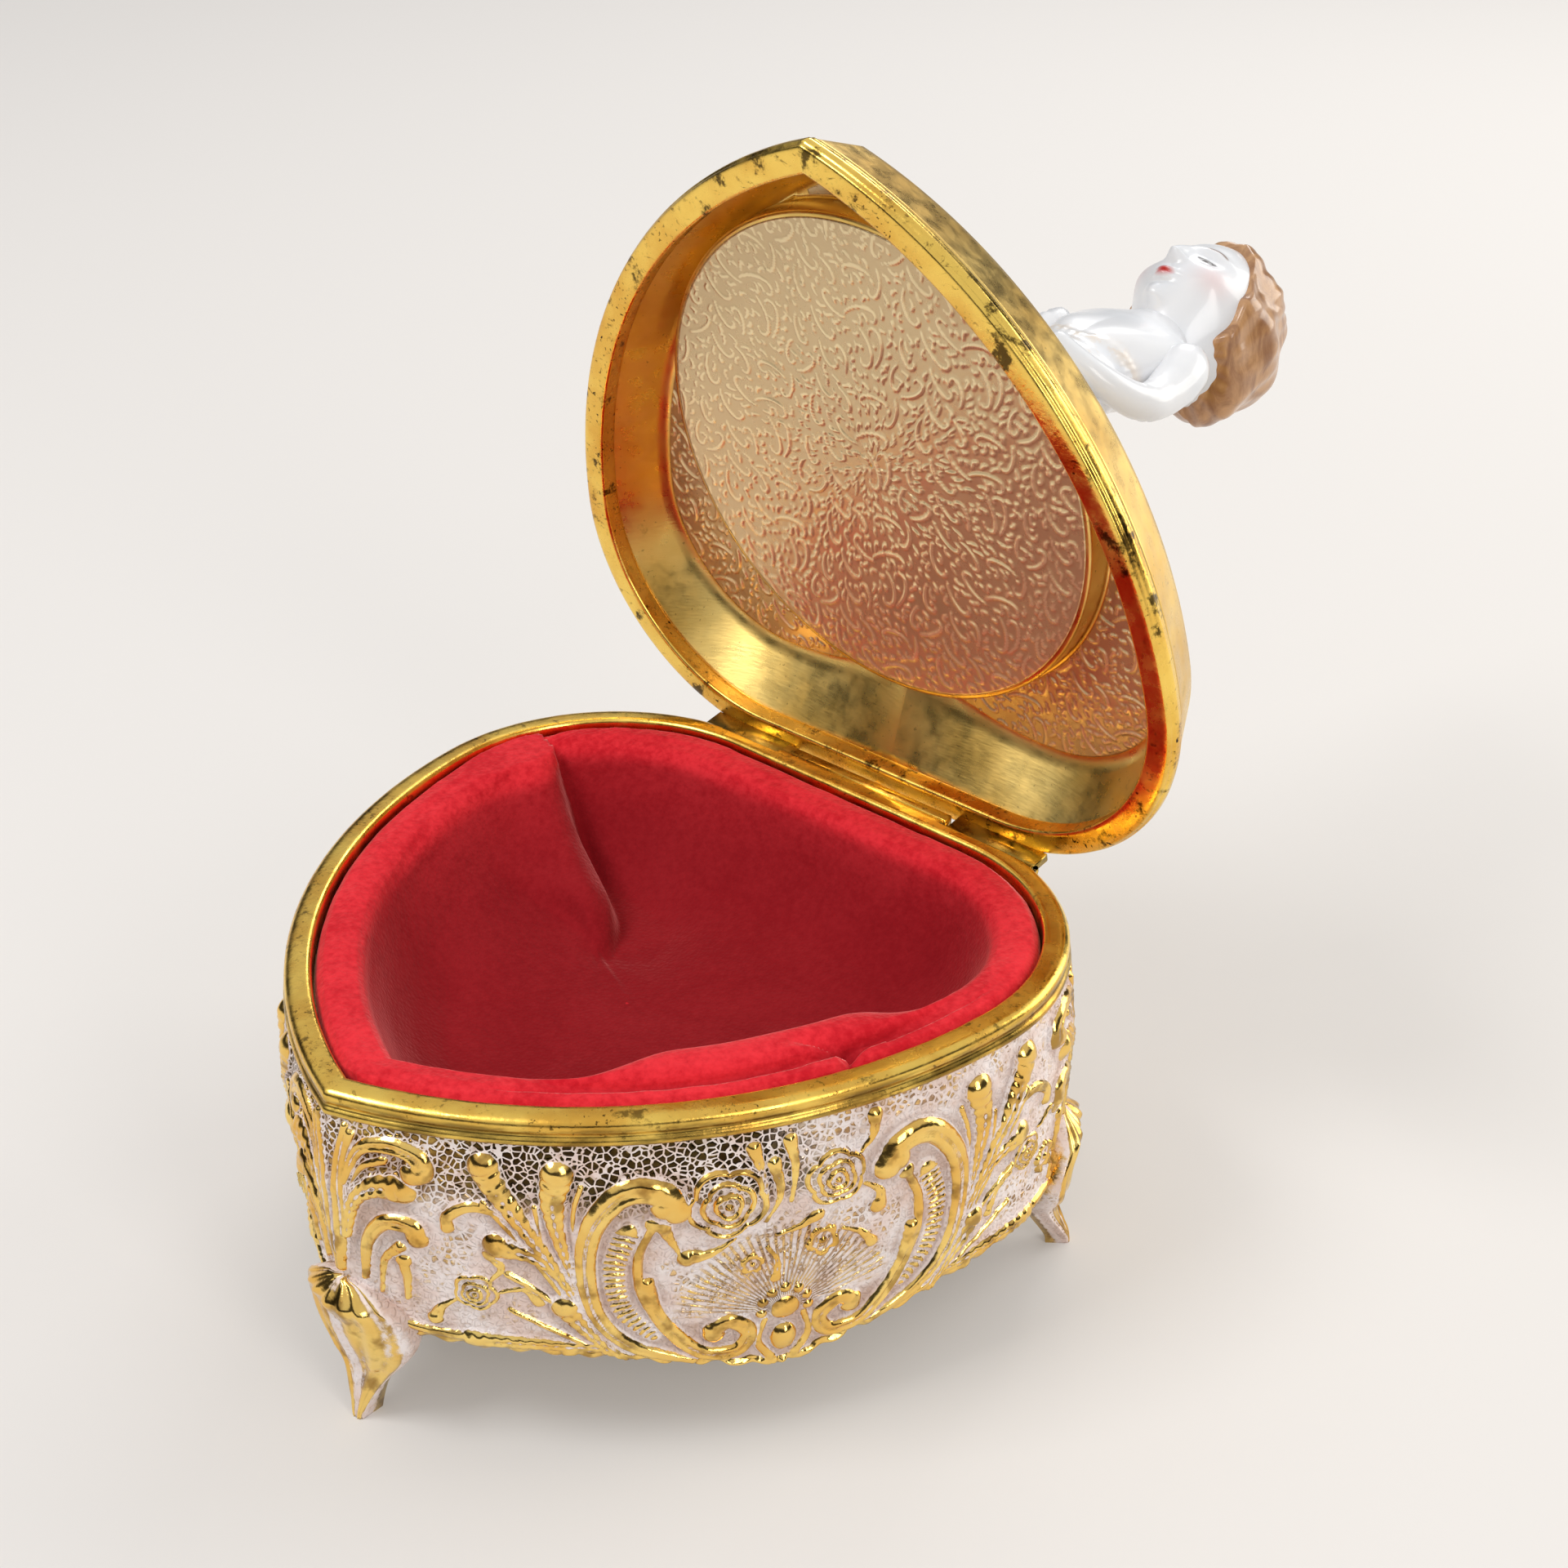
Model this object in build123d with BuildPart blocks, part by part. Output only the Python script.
"""Wind-up music box: a gilt heart-shaped casket on three leaf feet, with a hinged lid that
carries a porcelain lady, a velvet-lined compartment and an 18-note movement under its floor.

Millimetres, +Z up.  The box is drawn with its lid shut and its hinge edge on the X axis, then
the lid parts are swung open and everything is centred on the table under its own outline.
"""

import math
import os

from build123d import *

# ---------------------------------------------------------------- driving dimensions
# Heart outline of the rim, seen from above: point at -Y, straight hinge edge on y = 0.
box_length = 100.0
box_width = 105.2
lobe_radius = 30.7
side_radius = 77.0

# Levels above the table.
rim_level = 52.5
rim_height = 3.6
skirt_level = 16.5
belly_level = 38.0

# Body casting: how far its outside stands out from the rim outline, and its wall.
skirt_outset = -1.2
belly_outset = 0.3
neck_outset = -0.6
casting_wall = 2.4

rim_width = 3.7
lid_gap = 0.2
open_angle = 80.0

# Feet.
foot_bearing = 40.0
foot_pad = 1.6
foot_toe = 0.2
foot_flare = 0.6
foot_heel_level = 6.0
foot_heel_depth = 6.0
foot_heel_width = 13.0
foot_leaf_level = 13.0
foot_leaf_width = 19.0
foot_root_level = 23.0
foot_root_depth = 3.2
foot_root_width = 8.0

# Base plate and its screws.
base_plate_thick = 1.0
plate_clearance = 0.15
post_radius = 3.2
post_inset = 5.4
screw_radius = 0.95
screw_head_radius = 1.9
screw_head_height = 1.0
screw_clearance = 0.06
post_screw_grip = 4.5
comb_screw_grip = 5.0
screw_setback = 0.2

# Compartment floor and lining.
card_thick = 1.0
movement_gap = 0.3
card_clearance = 0.4
soft_clearance = 0.3
lining_thick = 3.8
floor_pad_thick = 1.6
lining_drop = 0.4

# Hinge.
hinge_radius = 1.4
hinge_drop = 2.8
pin_radius = 0.6
pin_clearance = 0.05
hinge_half_length = 31.0
body_knuckle_half = 15.4
knuckle_gap = 0.25
hinge_relief = 0.35
knuckle_root = 0.2

# Lid.
lid_rim_height = 3.2
lid_bead = 0.3
lid_height = 12.6
lid_wall = 1.6
lid_foot_inset = 0.4
lid_top_inset = 5.0
lid_back_inset = 8.0
lid_lobe_shrink = 7.5
lid_notch_depth = 6.0
recess_radius = 35.0
recess_depth = 4.2
recess_centre_y = -51.0
foil_thick = 0.3
foil_margin = 0.8

# Porcelain lady, standing in the recess.
figure_y = -47.0
figure_height = 91.0
skirt_radius = 19.0
waist_radius = 7.5
shoulder_radius = 11.5
figure_neck_radius = 4.6
head_radius = 12.2
head_lean = 9.0
porcelain_wall = 2.6

# Movement: bedplate on the base plate, drum along X, winding arbor upright.
bed_length = 49.5
bed_depth = 43.0
bed_thick = 1.6
bed_corner = 3.0
bed_hole_inset = 3.0
bed_centre = (-1.25, -41.5)
drum_y = -38.0
arbor_x = -16.0
housing_radius = 9.0
housing_height = 4.0
housing_wall = 0.8
spring_strip = 0.35
spring_turns = 6
spring_hook = 0.6
spring_float = 0.1
arbor_radius = 1.6
running_fit = 0.08
wheel_thick = 1.0
wheel_radius = 9.6
crown_width = 1.4
crown_height = 0.9
crown_teeth = 48
mesh_gap = 0.15
pinion_radius = 2.2
pinion_width = 1.8
pinion_teeth = 12
pinion_tooth = 0.6
drum_radius = 5.0
drum_wall = 0.9
drum_pin_radius = 0.2
drum_pin_height = 0.4
drum_margin = 0.5
pins_per_tine = 3
golden_angle = 137.5
tine_count = 18
tine_pitch = 1.2
tine_gap = 0.3
comb_thick = 1.0
comb_length = 16.5
comb_root = 6.5
drum_shaft_radius = 0.9
drum_wheel_teeth = 40
drum_wheel_thick = 1.0
drum_wheel_tooth = 0.5
governor_radius = 3.2
governor_teeth = 26
governor_tooth = 0.4
worm_radius = 1.1
worm_height = 5.5
fly_shaft_radius = 0.5
fan_radius = 4.2
fan_height = 3.2
fan_thick = 0.5
governor_arbor_radius = 0.6
frame_plate = 1.2
governor_lift = 0.36
bracket_thick = 1.4
bracket_gap = 0.3
bracket_radius = 2.5
cheek_margin = 1.6
frame_ear = 1.9
frame_screw_inset = 1.4

# Key under the base.
key_width = 19.0
key_plate = 1.4
key_wing_height = 7.5
key_hub_radius = 2.8
key_hub_length = 6.0
key_socket = 4.0
key_base_gap = 1.0
key_eye_spread = 0.294
key_eye_share = 0.2

# Stop slide under the base.
slide_width = 7.0
slide_length = 20.0
slide_thick = 0.8
slide_travel = 4.0
slide_gap = 0.1
slide_grip = 4.5
tab_width = 3.0
rivet_radius = 0.8
rivet_head_radius = 1.5
governor_screw_radius = 0.6

# ---------------------------------------------------------------- derived places
hinge_level = rim_level - hinge_drop
rim_floor = rim_level - rim_height
plate_top = skirt_level + base_plate_thick
lid_level = rim_level + lid_gap
lid_shell_level = lid_level + lid_rim_height
lid_top = rim_level + lid_height
recess_floor = lid_top - recess_depth
bed_top = plate_top + bed_thick
wheel_level = bed_top + housing_height + mesh_gap
crown_level = wheel_level + wheel_thick + crown_height
drum_level = crown_level + mesh_gap + pinion_radius
drum_wheel_radius = drum_radius
card_level = drum_level + drum_radius + drum_pin_height + movement_gap
card_top = card_level + card_thick
pinion_x = arbor_x + wheel_radius - crown_width / 2
bracket_x = arbor_x + wheel_radius + bracket_gap
drum_start = bracket_x + bracket_thick + bracket_gap
drum_length = tine_count * tine_pitch + 2 * drum_margin
drum_end = drum_start + drum_length
drum_wheel_x = drum_end + 3 * bracket_gap
far_bracket_x = drum_wheel_x + drum_wheel_thick + bracket_gap
shaft_start = pinion_x - pinion_width / 2
shaft_end = far_bracket_x + bracket_thick
frame_floor = bed_top + frame_plate
governor_level = frame_floor + governor_radius + governor_lift
governor_y = drum_y + math.sqrt(
    (drum_wheel_radius + governor_radius + mesh_gap) ** 2 - (drum_level - governor_level) ** 2
)
fly_y = governor_y + governor_radius + worm_radius + mesh_gap
fly_x = drum_wheel_x + drum_wheel_thick / 2
key_top = skirt_level - key_base_gap
key_hub_floor = key_top - key_hub_length
tab_x = fly_x + fan_radius + 2 * mesh_gap + slide_thick / 2
tab_y = fly_y - slide_travel
slide_x = tab_x + slide_width / 6
slide_y = tab_y - slide_travel
slide_level = skirt_level - slide_gap - slide_thick
rivet_x = tab_x + slide_width / 3
hinge_axis = Axis((0, 0, hinge_level), (1, 0, 0))


# ---------------------------------------------------------------- heart outline
def side_centre(tip_y, lobe_x, lobe_y, lobe_r, side_r):
    """Centre of the long side arc, through the point of the heart and tangent to its lobe."""
    reach = math.hypot(lobe_x, lobe_y - tip_y)
    along = (side_r**2 - (side_r - lobe_r) ** 2 + reach**2) / (2 * reach)
    away = math.sqrt(side_r**2 - along**2)
    ux = lobe_x / reach
    uy = (lobe_y - tip_y) / reach
    return (along * ux - away * uy, tip_y + along * uy + away * ux)


def heart_edges(side, side_r, lobe, lobe_r, cleft=0):
    """Draw the whole outline from its two arcs a side, with a straight or cleft back."""
    join = math.degrees(math.atan2(lobe[1] - side[1], lobe[0] - side[0]))
    tip = -math.degrees(math.acos(-side[0] / side_r))
    crown = (lobe[0], lobe[1] + lobe_r)
    with BuildLine() as outline:
        CenterArc(side, side_r, tip, join - tip)
        CenterArc(lobe, lobe_r, join, 90 - join)
        if cleft:
            TangentArc(crown, (0, crown[1] - cleft), tangent=(-1, 0))
        else:
            Line(crown, (0, crown[1]))
        mirror(about=Plane.YZ)
    make_face(outline.edges())


lobe_x = box_width / 2 - lobe_radius
rim_side = side_centre(-box_length, lobe_x, -lobe_radius, lobe_radius, side_radius)


def heart(outset=0.0):
    """The rim outline, moved outward by outset."""
    heart_edges(rim_side, side_radius + outset, (lobe_x, -lobe_radius), lobe_radius + outset)


def heart_tip(outset=0.0):
    """Y of the heart's point at an outset."""
    return rim_side[1] - math.sqrt((side_radius + outset) ** 2 - rim_side[0] ** 2)


top_lobe_radius = lobe_radius - lid_lobe_shrink
top_lobe = (box_width / 2 - lid_top_inset - top_lobe_radius, -lid_back_inset - top_lobe_radius)
top_tip = heart_tip(-lid_top_inset)
top_side_radius = side_radius - lid_top_inset
top_side = side_centre(top_tip, top_lobe[0], top_lobe[1], top_lobe_radius, top_side_radius)


def lid_top_heart(inset=0.0):
    """Outline of the lid's top: smaller, with a cleft between its lobes."""
    heart_edges(
        top_side, top_side_radius - inset, top_lobe, top_lobe_radius - inset, lid_notch_depth
    )


def lobe_point(inset, side):
    """Point on the lobe at the foot's bearing, side = 1 right or -1 left."""
    reach = lobe_radius - inset
    turn = math.radians(foot_bearing)
    return (side * (lobe_x + reach * math.cos(turn)), -lobe_radius + reach * math.sin(turn))


post_places = [(0, heart_tip(-post_inset)), lobe_point(post_inset, 1), lobe_point(post_inset, -1)]


# ---------------------------------------------------------------- body casting, rim and base
foot_turn = math.radians(foot_bearing)
foot_places = [
    ((0, heart_tip(0)), -math.pi / 2),
    (lobe_point(0, 1), foot_turn),
    (lobe_point(0, -1), math.pi - foot_turn),
]
casting_levels = [
    (skirt_level, skirt_outset),
    (belly_level, belly_outset),
    (rim_floor, neck_outset),
]
foot_slices = [
    # level, reach outward, reach inward, width
    (0, foot_toe, 2 * foot_pad + foot_toe, 2 * foot_pad),
    (foot_heel_level, foot_flare, foot_heel_depth, foot_heel_width),
    (foot_leaf_level, foot_flare, foot_root_depth, foot_leaf_width),
    (foot_root_level, foot_flare, foot_root_depth, foot_root_width),
]
knuckle_length = hinge_half_length - body_knuckle_half - knuckle_gap
knuckle_middle = (hinge_half_length + body_knuckle_half + knuckle_gap) / 2
pocket_depth = 2 * (hinge_radius + hinge_relief)

with BuildPart() as body_shell:
    for level, outset in casting_levels:
        with BuildSketch(Plane.XY.offset(level)):
            heart(outset)
    loft(ruled=True)
    for level, outset in casting_levels:
        with BuildSketch(Plane.XY.offset(level)):
            heart(outset - casting_wall)
    loft(ruled=True, mode=Mode.SUBTRACT)
    for place, turn in foot_places:
        out = Vector(math.cos(turn), math.sin(turn), 0)
        for level, outer, inner, width in foot_slices:
            middle = Vector(place[0], place[1], level) + out * ((outer - inner) / 2)
            with BuildSketch(Plane(middle, x_dir=out, z_dir=(0, 0, 1))):
                Ellipse((outer + inner) / 2, width / 2)
        loft(ruled=True)
    # Posts for the base screws; the compartment floor rests on their tops.
    with BuildSketch(Plane.XY.offset(plate_top)):
        with Locations(*post_places):
            Circle(post_radius)
            Circle(screw_radius + screw_clearance, mode=Mode.SUBTRACT)
    extrude(amount=card_level - plate_top)
    # Room for the hinge in the top of the back wall.
    with BuildSketch(Plane.XY.offset(hinge_level - hinge_radius - hinge_relief)):
        Rectangle(2 * (hinge_half_length + knuckle_gap), pocket_depth)
    extrude(amount=rim_height, mode=Mode.SUBTRACT)

with BuildPart() as body_rim:
    with BuildSketch(Plane.XY.offset(rim_floor)):
        heart()
    extrude(amount=rim_height)
    with BuildSketch(Plane.XY.offset(rim_floor)):
        heart(-rim_width)
    extrude(amount=rim_height, mode=Mode.SUBTRACT)
    with BuildSketch(Plane.YZ.offset(-body_knuckle_half)):
        with Locations((0, hinge_level)):
            Circle(hinge_radius)
    extrude(amount=2 * body_knuckle_half)
    with BuildSketch(Plane.XY.offset(rim_floor)):
        with Locations((knuckle_middle, 0), (-knuckle_middle, 0)):
            Rectangle(knuckle_length + 2 * knuckle_gap, pocket_depth)
    extrude(amount=rim_height, mode=Mode.SUBTRACT)
    with BuildSketch(Plane.YZ.offset(-hinge_half_length)):
        with Locations((0, hinge_level)):
            Circle(pin_radius + pin_clearance)
    extrude(amount=2 * hinge_half_length, mode=Mode.SUBTRACT)

with BuildPart() as hinge_pin:
    with BuildSketch(Plane.YZ.offset(-hinge_half_length)):
        with Locations((0, hinge_level)):
            Circle(pin_radius)
    extrude(amount=2 * hinge_half_length)

bed_holes = [
    (
        bed_centre[0] + side * (bed_length / 2 - bed_hole_inset),
        bed_centre[1] + end * (bed_depth / 2 - bed_hole_inset),
    )
    for side, end in ((-1, -1), (1, -1), (-1, 1))
]
slide_grip_back = slide_y - slide_length / 2 + 2 * slide_thick
rivet_places = [
    (rivet_x, slide_grip_back + slide_travel + rivet_head_radius + bracket_gap),
    (rivet_x, slide_y + slide_length / 2 - 2 * rivet_head_radius - slide_thick / 2),
]

with BuildPart() as base_plate:
    with BuildSketch(Plane.XY.offset(skirt_level)):
        heart(skirt_outset - casting_wall - plate_clearance)
        with Locations(*post_places, *bed_holes):
            Circle(screw_radius + screw_clearance, mode=Mode.SUBTRACT)
        with Locations((arbor_x, drum_y)):
            Circle(arbor_radius + running_fit, mode=Mode.SUBTRACT)
        with Locations(*rivet_places):
            Circle(rivet_radius, mode=Mode.SUBTRACT)
        with Locations((tab_x, tab_y + slide_travel / 2)):
            Rectangle(
                slide_thick + 4 * slide_gap,
                tab_width + slide_travel + 4 * slide_gap,
                mode=Mode.SUBTRACT,
            )
    extrude(amount=base_plate_thick)


def screw_group(places, length):
    """Round-head screws driven up from under the base plate, as one builder."""
    with BuildPart() as group:
        with BuildSketch(Plane.XY.offset(skirt_level)):
            with Locations(*places):
                Circle(screw_head_radius)
        extrude(amount=-screw_head_height)
        with BuildSketch(Plane.XY.offset(skirt_level)):
            with Locations(*places):
                Circle(screw_radius)
        extrude(amount=length)
    return group


base_plate_screws = screw_group(post_places, base_plate_thick + post_screw_grip)
movement_screws = screw_group(bed_holes, base_plate_thick + bed_thick - screw_setback)

# ---------------------------------------------------------------- compartment lining
with BuildPart() as floor_card:
    with BuildSketch(Plane.XY.offset(card_level)):
        heart(-rim_width - card_clearance)
    extrude(amount=card_thick)

wall_outset = -rim_width - soft_clearance
wall_floor = card_top + soft_clearance

with BuildPart() as lining_wall:
    with BuildSketch(Plane.XY.offset(wall_floor)):
        heart(wall_outset)
    extrude(amount=rim_level - lining_drop - wall_floor)
    with BuildSketch(Plane.XY.offset(wall_floor)):
        heart(wall_outset - lining_thick)
    extrude(amount=rim_level - lining_drop - wall_floor, mode=Mode.SUBTRACT)

with BuildPart() as lining_floor:
    with BuildSketch(Plane.XY.offset(wall_floor)):
        heart(wall_outset - lining_thick - soft_clearance)
    extrude(amount=floor_pad_thick)

# ---------------------------------------------------------------- lid, drawn shut
with BuildPart() as lid_rim:
    with BuildSketch(Plane.XY.offset(lid_level)):
        heart(lid_bead)
    extrude(amount=lid_rim_height)
    with BuildSketch(Plane.XY.offset(lid_level)):
        heart(-rim_width)
    extrude(amount=lid_rim_height, mode=Mode.SUBTRACT)
    for side in (1, -1):
        start = side * (body_knuckle_half + knuckle_gap)
        with BuildSketch(Plane.YZ.offset(start)):
            with Locations((0, hinge_level)):
                Circle(hinge_radius)
            with Locations((-hinge_radius / 2, (hinge_level + lid_level + knuckle_root) / 2)):
                Rectangle(hinge_radius, lid_level - hinge_level + knuckle_root)
        extrude(amount=side * knuckle_length)
    with BuildSketch(Plane.YZ.offset(-hinge_half_length)):
        with Locations((0, hinge_level)):
            Circle(pin_radius + pin_clearance)
    extrude(amount=2 * hinge_half_length, mode=Mode.SUBTRACT)

with BuildPart() as lid_shell:
    with BuildSketch(Plane.XY.offset(lid_shell_level)):
        heart(-lid_foot_inset)
    with BuildSketch(Plane.XY.offset(lid_top)):
        lid_top_heart()
    loft(ruled=True)
    with BuildSketch(Plane.XY.offset(lid_shell_level)):
        heart(-lid_foot_inset - lid_wall)
    with BuildSketch(Plane.XY.offset(lid_top - lid_wall)):
        lid_top_heart(lid_wall)
    loft(ruled=True, mode=Mode.SUBTRACT)
    # The round recess that the figurine stands in shows inside as a raised disc.
    with BuildSketch(Plane.XY.offset(recess_floor - lid_wall)):
        with Locations((0, recess_centre_y)):
            Circle(recess_radius + lid_wall)
    extrude(amount=recess_depth + lid_wall)
    with BuildSketch(Plane.XY.offset(recess_floor)):
        with Locations((0, recess_centre_y)):
            Circle(recess_radius)
    extrude(amount=recess_depth, mode=Mode.SUBTRACT)

with BuildPart() as lid_foil:
    with BuildSketch(Plane.XY.offset(lid_top - lid_wall - foil_thick)):
        lid_top_heart(lid_wall + foil_margin)
        with Locations((0, recess_centre_y)):
            Circle(recess_radius + lid_wall + foil_margin, mode=Mode.SUBTRACT)
    extrude(amount=foil_thick)

with BuildPart() as platform_foil:
    with BuildSketch(Plane.XY.offset(recess_floor - lid_wall - foil_thick)):
        with Locations((0, recess_centre_y)):
            Circle(recess_radius + lid_wall - foil_margin)
    extrude(amount=foil_thick)

head_y = figure_y + head_lean
head_level = recess_floor + figure_height - head_radius
gown_slices = [
    # share of the figure's height, centre y, radius along X, radius along Y
    (0.0, figure_y, skirt_radius, 0.9 * skirt_radius),
    (0.14, figure_y, 0.95 * skirt_radius, 0.85 * skirt_radius),
    (0.46, figure_y + 0.35 * head_lean, waist_radius, 0.85 * waist_radius),
    (0.60, figure_y + 0.5 * head_lean, 0.85 * shoulder_radius, 0.65 * shoulder_radius),
    (0.68, figure_y + 0.6 * head_lean, shoulder_radius, 0.6 * shoulder_radius),
    (0.72, figure_y + 0.7 * head_lean, 1.2 * figure_neck_radius, 1.1 * figure_neck_radius),
    (0.82, head_y, figure_neck_radius, figure_neck_radius),
]

with BuildPart() as figurine:
    for share, centre_y, across, deep in gown_slices:
        with BuildSketch(Plane.XY.offset(recess_floor + share * figure_height)):
            with Locations((0, centre_y)):
                Ellipse(across, deep)
    loft(ruled=True)
    with Locations((0, head_y, head_level)):
        Sphere(head_radius)
    # Slip-cast hollow, open underneath.
    for share, centre_y, across, deep in gown_slices[:3]:
        with BuildSketch(Plane.XY.offset(recess_floor + share * figure_height)):
            with Locations((0, centre_y)):
                Ellipse(across - porcelain_wall, deep - porcelain_wall)
    loft(ruled=True, mode=Mode.SUBTRACT)

# ---------------------------------------------------------------- movement: bed and spring
with BuildPart() as bedplate:
    with BuildSketch(Plane.XY.offset(plate_top)):
        with Locations(bed_centre):
            RectangleRounded(bed_length, bed_depth, bed_corner)
        with Locations(*bed_holes):
            Circle(screw_radius + screw_clearance, mode=Mode.SUBTRACT)
        with Locations((arbor_x, drum_y)):
            Circle(arbor_radius + running_fit, mode=Mode.SUBTRACT)
    extrude(amount=bed_thick)

with BuildPart() as spring_housing:
    with BuildSketch(Plane.XY.offset(bed_top)):
        with Locations((arbor_x, drum_y)):
            Circle(housing_radius)
            Circle(housing_radius - housing_wall, mode=Mode.SUBTRACT)
    extrude(amount=housing_height)
    with BuildSketch(Plane.XY.offset(bed_top)):
        with Locations((arbor_x, drum_y)):
            Circle(housing_radius)
            Circle(arbor_radius + running_fit, mode=Mode.SUBTRACT)
    extrude(amount=housing_wall)

spring_inner = arbor_radius + spring_hook
spring_outer = housing_radius - housing_wall - spring_strip / 2 - spring_float
spring_points = []
for step in range(24 * spring_turns + 1):
    share = step / (24 * spring_turns)
    reach = spring_inner + (spring_outer - spring_inner) * share
    turn = 2 * math.pi * spring_turns * share
    spring_points.append((arbor_x + reach * math.cos(turn), drum_y + reach * math.sin(turn)))

with BuildPart() as mainspring:
    with BuildSketch(Plane.XY.offset(bed_top + housing_wall + spring_float)):
        with BuildLine():
            Spline(*spring_points)
        trace(line_width=spring_strip)
    extrude(amount=housing_height - housing_wall - 3 * spring_float)

with BuildPart() as winding_arbor:
    with BuildSketch(Plane.XY.offset(key_top - key_socket)):
        with Locations((arbor_x, drum_y)):
            Circle(arbor_radius)
    extrude(amount=crown_level - key_top + key_socket)

with BuildPart() as great_wheel:
    with BuildSketch(Plane.XY.offset(wheel_level)):
        with Locations((arbor_x, drum_y)):
            Circle(wheel_radius)
            Circle(arbor_radius, mode=Mode.SUBTRACT)
    extrude(amount=wheel_thick)
    with BuildSketch(Plane.XY.offset(wheel_level + wheel_thick)):
        with Locations((arbor_x, drum_y)):
            with PolarLocations(wheel_radius - crown_width / 2, crown_teeth):
                Rectangle(crown_width, math.pi * wheel_radius / crown_teeth)
    extrude(amount=crown_height)

# ---------------------------------------------------------------- drum and comb
def toothed_wheel(x, centre, radius, teeth, depth, thick, bore):
    """Wheel square to X with straight teeth, drawn from its tip radius."""
    with BuildPart() as wheel:
        with BuildSketch(Plane.YZ.offset(x)):
            with Locations(centre):
                Circle(radius - depth)
                with PolarLocations(radius - depth / 2, teeth):
                    Rectangle(1.1 * depth, math.pi * radius / teeth)
            with Locations(centre):
                Circle(bore, mode=Mode.SUBTRACT)
        extrude(amount=thick)
    return wheel


drum_centre = (drum_y, drum_level)

with BuildPart() as drum:
    with BuildSketch(Plane.YZ.offset(drum_start)):
        with Locations(drum_centre):
            Circle(drum_radius)
            Circle(drum_radius - drum_wall, mode=Mode.SUBTRACT)
    extrude(amount=drum_length)
    for end in (drum_start, drum_end - drum_wall):
        with BuildSketch(Plane.YZ.offset(end)):
            with Locations(drum_centre):
                Circle(drum_radius - drum_wall / 2)
                Circle(drum_shaft_radius, mode=Mode.SUBTRACT)
        extrude(amount=drum_wall)
    # Pins a tine, spaced round the drum by the golden angle.
    for track in range(tine_count):
        track_x = drum_start + drum_margin + (track + 0.5) * tine_pitch
        for beat in range(pins_per_tine):
            turn = math.radians(golden_angle * track + 360 / pins_per_tine * beat)
            out = Vector(0, math.cos(turn), math.sin(turn))
            base = Vector(track_x, *drum_centre) + out * (drum_radius - drum_wall / 2)
            with BuildSketch(Plane(base, z_dir=out)):
                Circle(drum_pin_radius)
            extrude(amount=drum_wall / 2 + drum_pin_height)

with BuildPart() as drum_shaft:
    with BuildSketch(Plane.YZ.offset(shaft_start)):
        with Locations(drum_centre):
            Circle(drum_shaft_radius)
    extrude(amount=shaft_end - shaft_start)

drum_pinion = toothed_wheel(
    pinion_x - pinion_width / 2,
    drum_centre,
    pinion_radius,
    pinion_teeth,
    pinion_tooth,
    pinion_width,
    drum_shaft_radius,
)
drum_wheel = toothed_wheel(
    drum_wheel_x,
    drum_centre,
    drum_wheel_radius,
    drum_wheel_teeth,
    drum_wheel_tooth,
    drum_wheel_thick,
    drum_shaft_radius,
)

with BuildPart() as drum_brackets:
    for x in (bracket_x, far_bracket_x):
        with BuildSketch(Plane.YZ.offset(x)):
            with Locations((drum_y, (bed_top + drum_level) / 2)):
                Rectangle(2 * bracket_radius, drum_level - bed_top)
            with Locations(drum_centre):
                Circle(bracket_radius)
                Circle(drum_shaft_radius + running_fit, mode=Mode.SUBTRACT)
        extrude(amount=bracket_thick)

tine_tip_y = drum_y - drum_radius - drum_pin_height - mesh_gap
comb_back_y = tine_tip_y - comb_length
comb_width = tine_count * tine_pitch
comb_x = (drum_start + drum_end) / 2
comb_level = drum_level - comb_thick / 2
comb_screw_places = [(comb_x + side * comb_width / 4, comb_back_y + comb_root / 2) for side in (1, -1)]

with BuildPart() as comb_base:
    with BuildSketch(Plane.XY.offset(bed_top)):
        with Locations((comb_x, comb_back_y + comb_root / 2)):
            Rectangle(comb_width, comb_root)
        with Locations(*comb_screw_places):
            Circle(screw_radius + screw_clearance, mode=Mode.SUBTRACT)
    extrude(amount=comb_level - bed_top)

with BuildPart() as comb:
    with BuildSketch(Plane.XY.offset(comb_level)):
        with Locations((comb_x, comb_back_y + comb_length / 2)):
            Rectangle(comb_width, comb_length)
        with Locations((comb_x, comb_back_y + comb_root + (comb_length - comb_root) / 2)):
            with GridLocations(tine_pitch, 1, tine_count - 1, 1):
                Rectangle(tine_gap, comb_length - comb_root, mode=Mode.SUBTRACT)
        with Locations(*comb_screw_places):
            Circle(screw_radius + screw_clearance, mode=Mode.SUBTRACT)
    extrude(amount=comb_thick)

with BuildPart() as comb_screws:
    with BuildSketch(Plane.XY.offset(comb_level + comb_thick)):
        with Locations(*comb_screw_places):
            Circle(screw_head_radius)
    extrude(amount=screw_head_height)
    with BuildSketch(Plane.XY.offset(comb_level + comb_thick)):
        with Locations(*comb_screw_places):
            Circle(screw_radius)
    extrude(amount=-comb_thick - comb_screw_grip)

# ---------------------------------------------------------------- governor
governor_centre = (governor_y, governor_level)
governor_wheel = toothed_wheel(
    drum_wheel_x,
    governor_centre,
    governor_radius,
    governor_teeth,
    governor_tooth,
    drum_wheel_thick,
    governor_arbor_radius,
)

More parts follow.
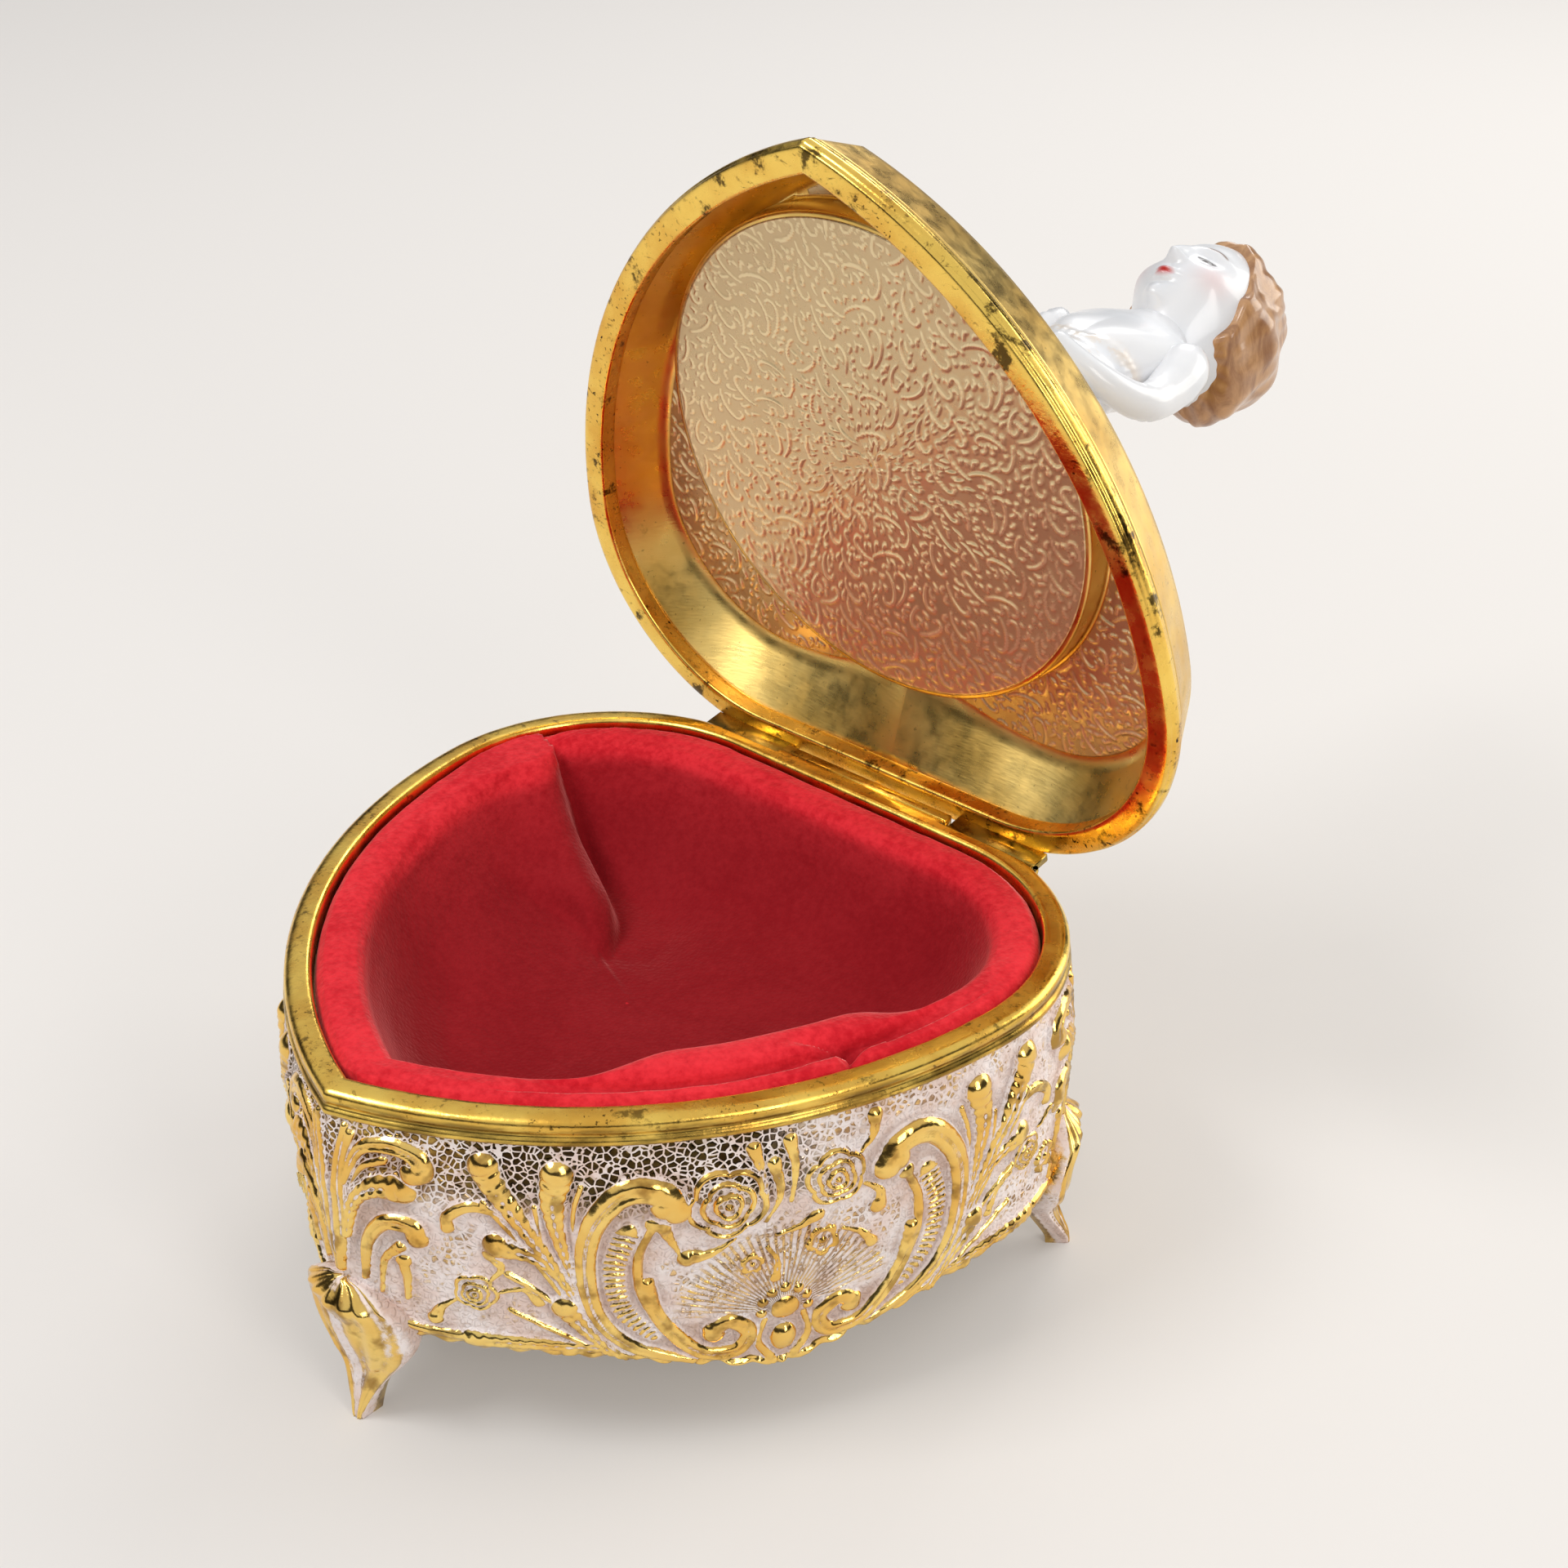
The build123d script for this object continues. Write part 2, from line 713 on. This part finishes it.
frame_half = drum_wheel_thick / 2 + bracket_gap + frame_plate
frame_front_y = drum_y + drum_radius + drum_pin_height + bracket_gap
frame_back_y = fly_y + fan_radius + bracket_gap + frame_plate
cheek_back_y = fly_y - worm_radius - 2 * bracket_gap
frame_top = card_level - bracket_gap
cheek_top = governor_level + cheek_margin
screw_row_y = fly_y + worm_radius + cheek_margin
ear_half = frame_ear * frame_half
ear_depth = 2 * (frame_back_y - screw_row_y)
governor_screw_places = [(fly_x + side * (ear_half - frame_screw_inset), screw_row_y) for side in (1, -1)]

with BuildPart() as governor_arbor:
    with BuildSketch(Plane.YZ.offset(fly_x - frame_half)):
        with Locations(governor_centre):
            Circle(governor_arbor_radius)
    extrude(amount=2 * frame_half)

with BuildPart() as governor_frame:
    with BuildSketch(Plane.XY.offset(bed_top)):
        with Locations((fly_x, (frame_front_y + frame_back_y) / 2)):
            Rectangle(2 * frame_half, frame_back_y - frame_front_y)
        with Locations((fly_x, screw_row_y)):
            Rectangle(2 * ear_half, ear_depth)
        with Locations(*governor_screw_places):
            Circle(governor_screw_radius, mode=Mode.SUBTRACT)
    extrude(amount=frame_plate)
    for side in (1, -1):
        with BuildSketch(Plane.YZ.offset(fly_x + side * frame_half)):
            with Locations(((frame_front_y + cheek_back_y) / 2, (frame_floor + cheek_top) / 2)):
                Rectangle(cheek_back_y - frame_front_y, cheek_top - frame_floor)
            with Locations(governor_centre):
                Circle(governor_arbor_radius + running_fit, mode=Mode.SUBTRACT)
        extrude(amount=-side * frame_plate)
    with BuildSketch(Plane.XY.offset(frame_floor)):
        with Locations((fly_x, frame_back_y - frame_plate / 2)):
            Rectangle(2 * frame_half, frame_plate)
    extrude(amount=frame_top - frame_floor)
    with BuildSketch(Plane.XY.offset(frame_top)):
        with Locations((fly_x, (frame_back_y + fly_y - cheek_margin) / 2)):
            Rectangle(2 * cheek_margin, frame_back_y - fly_y + cheek_margin)
    extrude(amount=-frame_plate / 2)
    with BuildSketch(Plane.XY.offset(bed_top)):
        with Locations((fly_x, fly_y)):
            Circle(fly_shaft_radius + running_fit)
    extrude(amount=frame_top - bed_top, mode=Mode.SUBTRACT)

with BuildPart() as governor_screws:
    with BuildSketch(Plane.XY.offset(frame_floor)):
        with Locations(*governor_screw_places):
            Circle(2 * governor_screw_radius)
    extrude(amount=governor_screw_radius)
    with BuildSketch(Plane.XY.offset(frame_floor)):
        with Locations(*governor_screw_places):
            Circle(governor_screw_radius)
    extrude(amount=-frame_plate)

worm_floor = governor_level - worm_height / 2
fan_floor = frame_top - frame_plate - fan_height

with BuildPart() as fly:
    with BuildSketch(Plane.XY.offset(bed_top + slide_gap)):
        with Locations((fly_x, fly_y)):
            Circle(fly_shaft_radius)
    extrude(amount=frame_top - bed_top - slide_gap)
    with BuildSketch(Plane.XY.offset(worm_floor)):
        with Locations((fly_x, fly_y)):
            Circle(worm_radius)
    extrude(amount=worm_height)
    with BuildSketch(Plane.XY.offset(fan_floor)):
        with Locations((fly_x, fly_y)):
            Rectangle(2 * fan_radius, fan_thick)
    extrude(amount=fan_height)

# ---------------------------------------------------------------- key and stop slide
with BuildPart() as winding_key:
    with BuildSketch(Plane.XY.offset(key_hub_floor)):
        with Locations((arbor_x, drum_y)):
            Circle(key_hub_radius)
    extrude(amount=key_hub_length)
    with BuildSketch(Plane.XZ.offset(-drum_y - key_plate / 2)):
        with Locations((arbor_x, key_hub_floor + key_base_gap - key_wing_height / 2)):
            RectangleRounded(key_width, key_wing_height, 0.45 * key_wing_height)
            with Locations((-key_eye_spread * key_width, 0), (key_eye_spread * key_width, 0)):
                Circle(key_eye_share * key_wing_height, mode=Mode.SUBTRACT)
    extrude(amount=key_plate)
    with BuildSketch(Plane.XY.offset(key_top)):
        with Locations((arbor_x, drum_y)):
            Circle(arbor_radius)
    extrude(amount=-key_socket, mode=Mode.SUBTRACT)

with BuildPart() as stop_slide:
    with BuildSketch(Plane.XY.offset(slide_level)):
        with Locations((slide_x, slide_y)):
            Rectangle(slide_width, slide_length)
        with Locations(*[(x, y - slide_travel / 2) for x, y in rivet_places]):
            Rectangle(
                2 * (rivet_radius + slide_gap),
                slide_travel + 2 * (rivet_radius + slide_gap),
                mode=Mode.SUBTRACT,
            )
    extrude(amount=slide_thick)
    with BuildSketch(Plane.XY.offset(slide_level)):
        with Locations((tab_x, tab_y)):
            Rectangle(slide_thick, tab_width)
    extrude(amount=fan_floor + fan_height - slide_level)
    with BuildSketch(Plane.XY.offset(slide_level)):
        with Locations((slide_x, slide_y - slide_length / 2 + slide_thick)):
            Rectangle(slide_width, 2 * slide_thick)
    extrude(amount=-slide_grip)

with BuildPart() as slide_rivets:
    with BuildSketch(Plane.XY.offset(plate_top)):
        with Locations(*rivet_places):
            Circle(rivet_radius)
    extrude(amount=slide_level - slide_gap - plate_top)
    with BuildSketch(Plane.XY.offset(slide_level - slide_gap)):
        with Locations(*rivet_places):
            Circle(rivet_head_radius)
    extrude(amount=-slide_thick)

# ---------------------------------------------------------------- open the lid and write
fixed_parts = {
    "body_shell": body_shell,
    "body_rim": body_rim,
    "hinge_pin": hinge_pin,
    "base_plate": base_plate,
    "base_plate_screws": base_plate_screws,
    "movement_screws": movement_screws,
    "floor_card": floor_card,
    "lining_wall": lining_wall,
    "lining_floor": lining_floor,
    "bedplate": bedplate,
    "spring_housing": spring_housing,
    "mainspring": mainspring,
    "winding_arbor": winding_arbor,
    "great_wheel": great_wheel,
    "winding_key": winding_key,
    "drum": drum,
    "drum_shaft": drum_shaft,
    "drum_pinion": drum_pinion,
    "drum_wheel": drum_wheel,
    "drum_brackets": drum_brackets,
    "comb_base": comb_base,
    "comb": comb,
    "comb_screws": comb_screws,
    "governor_wheel": governor_wheel,
    "governor_arbor": governor_arbor,
    "governor_frame": governor_frame,
    "governor_screws": governor_screws,
    "fly": fly,
    "stop_slide": stop_slide,
    "slide_rivets": slide_rivets,
}
lid_parts = {
    "lid_rim": lid_rim,
    "lid_shell": lid_shell,
    "lid_foil": lid_foil,
    "platform_foil": platform_foil,
    "figurine": figurine,
}

for piece in lid_parts.values():
    piece.part = piece.part.rotate(hinge_axis, -open_angle)

all_parts = fixed_parts | lid_parts
boxes = [piece.part.bounding_box() for piece in all_parts.values()]
middle_y = (min(box.min.Y for box in boxes) + max(box.max.Y for box in boxes)) / 2

os.makedirs("parts", exist_ok=True)
for name, piece in all_parts.items():
    piece.part = piece.part.moved(Location((0, -middle_y, 0)))
    piece.part.label = name
    export_step(piece.part, f"parts/{name}.step")

print("lid hinge", (0, round(-middle_y, 3), round(hinge_level, 3)))
print("winding key", (arbor_x, round(drum_y - middle_y, 3), round(key_top, 3)))
print("drum", (0, round(drum_y - middle_y, 3), round(drum_level, 3)))
print("governor wheel", (0, round(governor_y - middle_y, 3), round(governor_level, 3)))
print("fly", (round(fly_x, 3), round(fly_y - middle_y, 3), 0))
print("hinge edge at y", round(-middle_y, 3), "compartment floor", wall_floor + floor_pad_thick)
